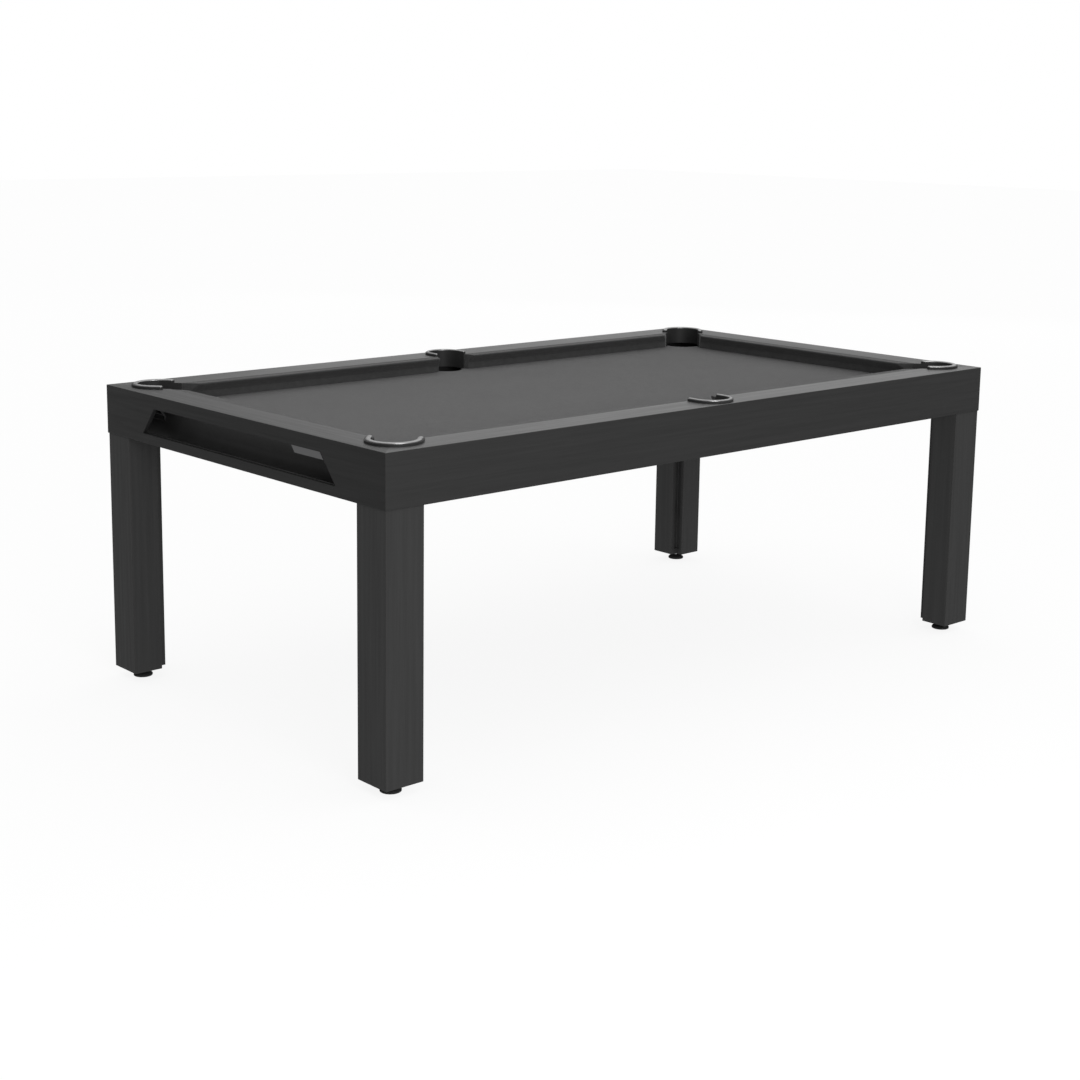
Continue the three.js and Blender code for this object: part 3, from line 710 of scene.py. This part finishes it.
def make_boards(materials):
    places = pocket_places()
    for side in SIDES:
        # Long sides and ends take differently toned copies of one charcoal finish, aprons and caps alike:
        # painted light and shade.
        axis = "x" if side in ("front", "rear") else "y"
        apron = board_mesh(apron_section(), side, [window_cutter()] if side == "tray_end" else [])
        apron.name = f"fine_apron_{side}"
        soften(apron)
        board = link_piece(
            f"fine_apron_{side}", apron, materials[f"board_{axis}"], "table", [f"apron_{side}"]
        )
        if side == "tray_end":
            weigh_window(apron)
            add_bevel(board, 0.001, 3).limit_method = "WEIGHT"
        cutters = [
            pocket_cutter(pocket, matrix)
            for name, (matrix, pocket) in places.items()
            if side.removesuffix("_end") in name
        ]
        cap = board_mesh(cap_section(), side, cutters)
        cap.name = f"fine_rail_cap_{side}"
        soften(cap)
        link_piece(
            f"fine_rail_cap_{side}", cap, materials[f"cap_{axis}"], "table", [f"rail_cap_{side}"]
        )


def make_legs(materials):
    # The legs take the lightest copy of the charcoal finish: painted light from below.
    for corner in CORNERS:
        fine_copy(f"leg_{corner}", materials["board_z"], bevel=0.0015, segments=3)
        fine_copy(f"leg_post_{corner}", materials["black_steel"], bevel=0.001)
        fine_copy(f"leg_mount_plate_{corner}", materials["black_steel"], bevel=0.0008)


def make_frame(materials):
    fine_copy("slate_bed", materials["slate"], bevel=0.001)
    for node in ("front", "rear", "tray_end", "plain_end"):
        fine_copy(f"frame_beam_{node}", materials["wood"], bevel=0.0015)
    for node in ("tray", "plain"):
        fine_copy(f"cross_member_{node}", materials["wood"], bevel=0.0015)


def make_ball_return(materials):
    for node in ("gutter_front", "gutter_rear", "ball_tray"):
        fine_copy(node, materials["tray"], bevel=0.0006)
    # The hoods take the lighter copy of the black plastic: painted light.
    for node in ("tray_hood_front", "tray_hood_rear"):
        fine_copy(node, materials["hood"], bevel=0.0022, segments=5)
    fine_copy("name_plate", materials["plate"], bevel=0.0003)


# ---------------------------------------------------------------- cushions and bed cloth


def cushion_section():
    """Across a cushion: foot on the cloth, a slanting throat, the nose over the bed, and a flat top."""
    return filleted([
        (CUSHION_BACK, BED_TOP + 0.0008, 0, 0),
        (CUSHION_FOOT, BED_TOP + 0.0008, 0, 0),
        (CUSHION_FOOT, BED_TOP + 0.0195, 0.004, 4),
        (CUSHION_FOOT + 0.005, BED_TOP + 0.028, 0.008, 4),
        (RAIL_WIDTH + 0.0043, RAIL_TOP - 0.0015, 0.003, 10),
        (CUSHION_FOOT, RAIL_TOP - 0.0008, 0.04, 4),
        (CUSHION_BACK, RAIL_TOP - 0.0006, 0.0016, 5),
    ])


def jaw_offset(pocket, inset):
    """How far a jaw's facing lies from the pocket's line of symmetry, at an inset from the table's edge."""
    back, front = pocket["jaw"]
    return back + (front - back) * (inset - CUSHION_BACK) / (RAIL_WIDTH - CUSHION_BACK)


def corner_jaw(half):
    return lambda inset: half - jaw_offset(CORNER_POCKET, inset) * math.sqrt(2) - inset


def side_jaw(inset):
    return jaw_offset(SIDE_POCKET, inset)


def make_cushion(node, side, low_end, high_end, material):
    """One cushion between two jaws. Each end is a function from the inset to the place along the side."""
    section = cushion_section()
    turns = 5
    rings = []
    for end, sign in ((low_end, 1), (high_end, -1)):
        stations = []
        for step in range(turns + 1):
            angle = math.radians(90) * step / turns
            outline = inset_outline(section, JAW_ROUND * (1 - math.sin(angle)))
            back_off = JAW_ROUND * (1 - math.cos(angle))
            stations.append([Vector((end(p.x) + sign * back_off, p.x, p.y)) for p in outline])
        rings.extend(stations if sign > 0 else reversed(stations))
    vertices = [side_matrix(side) @ p for ring in rings for p in ring]
    mesh = tube_mesh(f"fine_{node}", vertices, len(section))
    soften(mesh, 50)
    piece = link_piece(f"fine_{node}", mesh, material, "table", [node])
    weighted = piece.modifiers.new("normals", "WEIGHTED_NORMAL")
    weighted.keep_sharp = True


def make_cushions(material):
    for side in ("tray_end", "plain_end"):
        jaw = corner_jaw(HALF_WIDTH)
        make_cushion(f"cushion_{side}", side, lambda inset, jaw=jaw: -jaw(inset), jaw, material)
    for side, (high, low) in (("front", ("plain", "tray")), ("rear", ("tray", "plain"))):
        jaw = corner_jaw(HALF_LENGTH)
        make_cushion(f"cushion_{side}_{high}", side, side_jaw, jaw, material)
        make_cushion(
            f"cushion_{side}_{low}",
            side,
            lambda inset, jaw=jaw: -jaw(inset),
            lambda inset: -side_jaw(inset),
            material,
        )


def bed_notches():
    """The notches in the bed's edge, anticlockwise: centre, radius and the directions round each."""
    x, y = HALF_LENGTH - SHEET_INSET, HALF_WIDTH - SHEET_INSET
    pocket_x = HALF_LENGTH - CORNER_POCKET["inset"]
    pocket_y = HALF_WIDTH - CORNER_POCKET["inset"]
    middle_y = HALF_WIDTH - SIDE_POCKET["inset"]
    corner_cut = CORNER_POCKET["radius"] + LINER_GAP
    side_cut = SIDE_POCKET["radius"] + LINER_GAP
    reach = math.sqrt(corner_cut ** 2 - (x - pocket_x) ** 2)
    side_reach = math.sqrt(side_cut ** 2 - (y - middle_y) ** 2)
    return [
        notch_points(side_cut, (0, -middle_y), (-side_reach, -y), (side_reach, -y)),
        notch_points(corner_cut, (pocket_x, -pocket_y), (pocket_x - reach, -y), (x, -pocket_y + reach)),
        notch_points(corner_cut, (pocket_x, pocket_y), (x, pocket_y - reach), (pocket_x - reach, y)),
        notch_points(side_cut, (0, middle_y), (side_reach, y), (-side_reach, y)),
        notch_points(corner_cut, (-pocket_x, pocket_y), (-pocket_x + reach, y), (-x, pocket_y - reach)),
        notch_points(corner_cut, (-pocket_x, -pocket_y), (-x, -pocket_y + reach), (-pocket_x + reach, -y)),
    ]


def notch_points(radius, centre, start, end, steps=36):
    """The arc from start to end round a pocket's centre, bulging into the bed."""
    centre = Vector(centre)
    first = Vector(start) - centre
    last = Vector(end) - centre
    from_angle = math.atan2(first.y, first.x)
    to_angle = math.atan2(last.y, last.x)
    while to_angle > from_angle:
        to_angle -= 2 * math.pi
    directions = [
        Vector((math.cos(a), math.sin(a)))
        for a in (from_angle + (to_angle - from_angle) * k / steps for k in range(steps + 1))
    ]
    return radius, centre, directions


def make_bed_cloth(material):
    """Cloth laid flat over the slate and rolled down into each pocket's cut."""
    vertices, faces, rim = [], [], []
    profile = [(0.0, 0.0)]
    for step in range(1, 5):
        angle = math.radians(90) * step / 4
        profile.append((LIP_ROLL * math.sin(angle), -LIP_ROLL * (1 - math.cos(angle))))
    profile.append((LIP_ROLL, -LIP_DROP))
    for radius, centre, directions in bed_notches():
        first = len(vertices)
        count = len(directions)
        for inward, drop in profile:
            for direction in directions:
                flat = centre + direction * (radius + LIP_ROLL / 2 - inward)
                vertices.append(Vector((flat.x, flat.y, BED_TOP + drop)))
        faces.extend(
            tuple(first + i for i in face) for face in ring_faces(len(profile), count, closed=False)
        )
        rim.extend(range(first, first + count))
    faces.append(tuple(rim))
    mesh = mesh_of("fine_bed_cloth", vertices, faces)
    fix_normals(mesh)
    soften(mesh, 40)
    mesh.polygons[len(mesh.polygons) - 1].use_smooth = False
    piece = link_piece("fine_bed_cloth", mesh, material, "table", ["bed_cloth"])
    thick = piece.modifiers.new("thickness", "SOLIDIFY")
    thick.thickness = 0.0007
    thick.offset = -1


# ---------------------------------------------------------------- pockets


def pocket_path(pocket, radius):
    """A U in the pocket's own frame, opening along +X: points and headings."""
    centre = pocket["centre"]
    straight = 4
    turns = 44
    points = []
    for k in range(straight):
        x = centre + ARM_REACH * (1 - k / straight)
        points.append((Vector((x, radius)), Vector((-1, 0))))
    for k in range(turns + 1):
        angle = math.radians(90) + math.pi * k / turns
        outward = Vector((math.cos(angle), math.sin(angle)))
        points.append((Vector((centre, 0)) + outward * radius, Vector((-outward.y, outward.x))))
    for k in range(1, straight + 1):
        x = centre + ARM_REACH * k / straight
        points.append((Vector((x, -radius)), Vector((1, 0))))
    return points


def rim_section(width, scale):
    """A low dome across the rim, as (sideways, up) points."""
    height = RIM_TOP - RIM_BOTTOM
    steps = 14
    angles = [math.pi * k / steps for k in range(steps + 1)]
    return [
        (math.cos(a) * width / 2 * scale, height * math.sin(a) ** 0.6 * scale ** 0.6) for a in angles
    ]


def make_rim(node, matrix, pocket, material):
    inner = pocket["radius"] + RIM_STEP
    width = pocket["rim"] - inner
    path = pocket_path(pocket, inner + width / 2)
    rounds = 7
    tips = [math.radians(90) * k / rounds for k in range(rounds)]
    stations = []
    for angle in tips:
        point, heading = path[0]
        stations.append((point - heading * width / 2 * math.cos(angle), heading, max(math.sin(angle), 0.02)))
    stations.extend((point, heading, 1.0) for point, heading in path)
    for angle in reversed(tips):
        point, heading = path[-1]
        stations.append((point + heading * width / 2 * math.cos(angle), heading, max(math.sin(angle), 0.02)))
    vertices = []
    for point, heading, scale in stations:
        across = Vector((-heading.y, heading.x))
        for side, up in rim_section(width, scale):
            flat = point + across * side
            vertices.append(matrix @ Vector((flat.x, flat.y, RIM_BOTTOM + up)))
    mesh = tube_mesh(f"fine_{node}", vertices, len(vertices) // len(stations))
    soften(mesh, 60)
    link_piece(f"fine_{node}", mesh, material, "table", [node])


def make_pockets(materials):
    for name, (matrix, pocket) in pocket_places().items():
        fine_copy(f"pocket_liner_{name}", materials["liner"], bevel=0.0009, segments=3)
        make_rim(f"pocket_rim_{name}", matrix, pocket, materials["rim"])


# ---------------------------------------------------------------- levelling feet


def lathe(name, profile, centre, steps=48):
    """A turned shape from (radius, height) points that start and end on the axis."""
    vertices, faces = [], []
    inner = profile[1:-1]
    count = len(inner)
    for k in range(steps):
        angle = 2 * math.pi * k / steps
        for radius, height in inner:
            vertices.append(centre + Vector((radius * math.cos(angle), radius * math.sin(angle), height)))
    low = len(vertices)
    vertices.append(centre + Vector((0, 0, profile[0][1])))
    vertices.append(centre + Vector((0, 0, profile[-1][1])))
    for k in range(steps):
        here, there = k * count, ((k + 1) % steps) * count
        faces.append((low, there, here))
        faces.append((low + 1, here + count - 1, there + count - 1))
        for i in range(count - 1):
            faces.append((here + i, there + i, there + i + 1, here + i + 1))
    mesh = mesh_of(name, vertices, faces)
    fix_normals(mesh)
    return mesh


def stud_radius(angle, height, widest):
    """The stud's outline: a hexagonal collar with chamfered corners under a threaded shaft."""
    if widest == "collar":
        flat = STUD_COLLAR * math.cos(math.radians(30))
        turn = (angle + math.radians(30)) % math.radians(60) - math.radians(30)
        corner = flat / math.cos(turn + math.radians(30) * (1 if turn < 0 else -1))
        edge = min(height - COLLAR_LOW, COLLAR_HIGH - height)
        return min(corner, flat + max(edge, 0) * CHAMFER_SLOPE + CHAMFER_START)
    if widest == "thread":
        phase = (height / THREAD_PITCH - angle / (2 * math.pi)) % 1
        return STUD_RADIUS - THREAD_DEPTH * abs(2 * phase - 1)
    return STUD_HEAD


def stud_levels():
    """Heights up the stud, each with the part of it that sets its radius."""
    head = [(HEAD_LOW, "head"), (HEAD_HIGH, "head")]
    shares = (0, 0.08, 0.16, 0.84, 0.92, 1)
    collar = [(COLLAR_LOW + (COLLAR_HIGH - COLLAR_LOW) * share, "collar") for share in shares]
    turns = round((STUD_TOP - COLLAR_HIGH) / THREAD_PITCH * THREAD_STEPS)
    thread = [
        (COLLAR_HIGH + (STUD_TOP - COLLAR_HIGH) * k / turns, "thread") for k in range(turns + 1)
    ]
    neck = [(NECK_LOW, "thread"), (COLLAR_LOW, "thread")]
    return head + neck + collar + thread


def make_stud(corner, centre, material):
    around = 36
    levels = stud_levels()
    vertices = []
    for height, widest in levels:
        for k in range(around):
            angle = 2 * math.pi * k / around
            radius = stud_radius(angle, height, widest)
            vertices.append(centre + Vector((radius * math.cos(angle), radius * math.sin(angle), height)))
    mesh = tube_mesh(f"fine_foot_stud_{corner}", vertices, around)
    soften(mesh, 28)
    link_piece(
        f"fine_foot_stud_{corner}", mesh, material, f"stud_{corner}", [f"foot_stud_{corner}"]
    )


def make_foot(corner, materials):
    low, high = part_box(f"foot_pad_{corner}")
    centre = Vector(((low.x + high.x) / 2, (low.y + high.y) / 2, 0))
    pad_profile = [
        (0, 0.0004), (0.018, 0.0004), (0.0185, 0.0), (0.0248, 0.0), (0.0258, 0.0008), (0.026, 0.0016),
        (0.026, 0.0044), (0.0257, 0.005), (0.0250, 0.0052), (0.0250, 0.0056), (0.0253, 0.0059),
        (0.0246, 0.0068), (0.0228, 0.0083), (0.0195, 0.0100), (0.0150, 0.0117), (0.0118, 0.0127),
        (0.0102, 0.0134), (0.0094, 0.0135), (0.0082, 0.0133), (0.0077, 0.0128), (0.0077, 0.0066), (0, 0.0066),
    ]
    mesh = lathe(f"fine_foot_pad_{corner}", pad_profile, centre)
    soften(mesh, 40)
    link_piece(
        f"fine_foot_pad_{corner}", mesh, materials["rubber"], f"foot_{corner}",
        [f"foot_pad_{corner}"],
    )
    make_stud(corner, centre, materials["zinc"])


make_camera()
make_studio()
make_floor()
materials = make_materials()
make_boards(materials)
make_legs(materials)
make_frame(materials)
make_ball_return(materials)
# The cushions get the darker copy of the cloth: painted shade.
make_cushions(materials["cushion_cloth"])
make_bed_cloth(materials["bed_cloth"])
make_pockets(materials)
for corner in CORNERS:
    make_foot(corner, materials)
